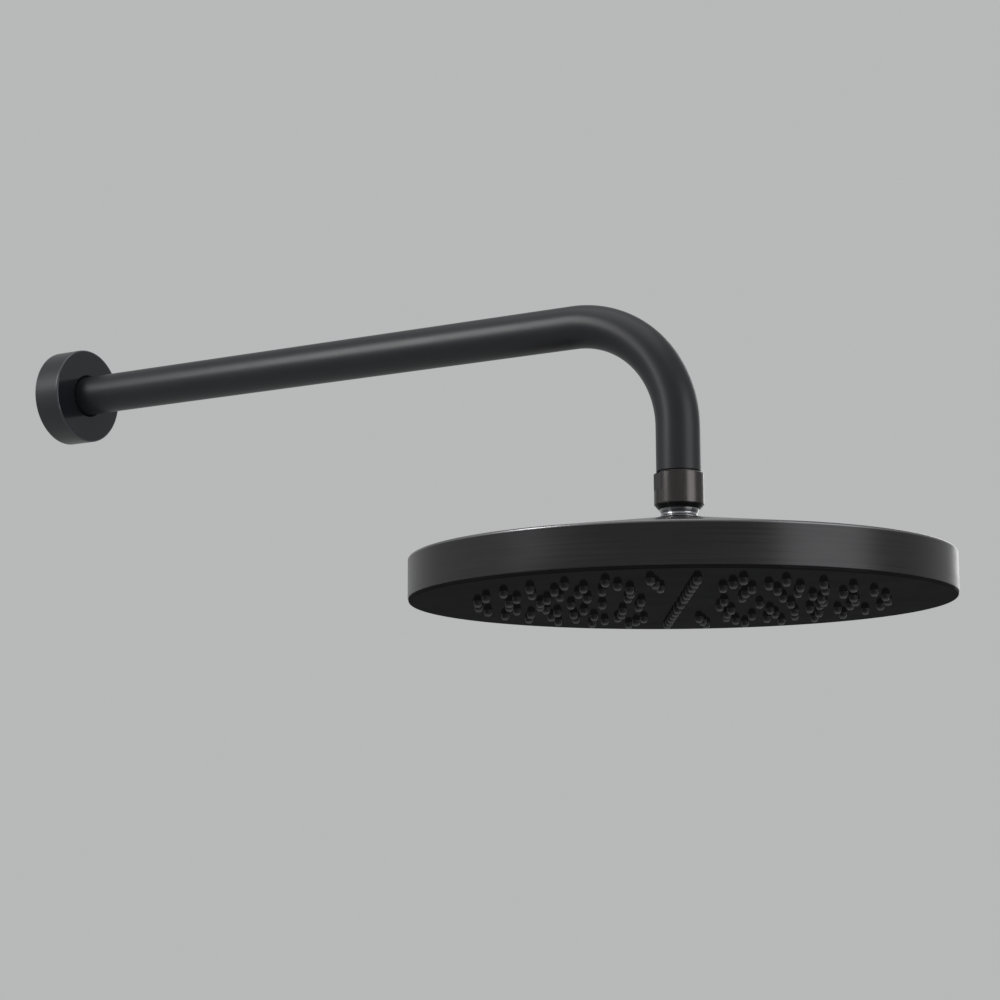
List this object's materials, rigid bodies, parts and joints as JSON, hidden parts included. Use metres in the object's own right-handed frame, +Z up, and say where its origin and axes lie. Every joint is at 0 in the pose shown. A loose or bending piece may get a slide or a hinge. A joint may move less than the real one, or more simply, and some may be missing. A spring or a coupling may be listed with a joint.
{
  "type": "rain shower head with wall arm",
  "caption": "Round overhead rain shower head on a bent wall arm, with a sliding wall flange and a ball joint that lets the head turn and tilt.",
  "frame": {"origin": "point on the arm's axis in the plane of the wall, at the root of the wall thread", "axes": "+X out of the wall along the arm, +Z up, -Y towards the side that the picture is taken from"},
  "size_m": [0.615, 0.3, 0.1972],
  "materials": {
    "satin_black": "satin black coating",
    "gunmetal": "brushed gunmetal",
    "black_oxide": "black, turned",
    "chrome": "polished chrome plate",
    "gloss_black": "gloss black",
    "black_rubber": "black silicone, matt",
    "brass": "turned brass",
    "white_plastic": "moulded acetal",
    "grey_plastic": "moulded grey plastic",
    "steel": "stainless steel"
  },
  "bodies": {
    "arm": {"arm_tube": "satin_black", "inlet_nipple": "brass", "outlet_nipple": "satin_black", "swivel_collar": "gunmetal", "retaining_ring": "black_oxide", "thrust_ring": "white_plastic", "filter_washer": "black_rubber", "filter_screen": "steel", "flow_regulator": "white_plastic", "regulator_o_ring": "black_rubber"},
    "flange": {"wall_flange": "satin_black", "flange_o_ring": "black_rubber"},
    "swivel_seat": {"ball_seal": "black_rubber"},
    "head": {"ball_stem": "chrome", "stem_washer": "black_rubber", "top_shell": "satin_black", "chamber_cover": "grey_plastic", "chamber_seal": "black_rubber", "cover_screws": "steel", "face_plate": "gloss_black", "nozzle_mat": "black_rubber", "stem_lock_nut": "brass", "stem_o_ring": "black_rubber"}
  },
  "joints": [
    {"name": "flange_slide", "type": "slide", "parent": "arm", "child": "flange", "axis": [1, 0, 0], "range_m": [0, 0.36]},
    {"name": "head_swivel", "type": "hinge", "parent": "arm", "child": "swivel_seat", "pos_m": [0.45, 0, -0.1084], "axis": [0, 0, 1], "continuous": true},
    {"name": "head_tilt", "type": "hinge", "parent": "swivel_seat", "child": "head", "pos_m": [0.45, 0, -0.1084], "axis": [0, 1, 0], "range_deg": [-10, 10]}
  ]
}
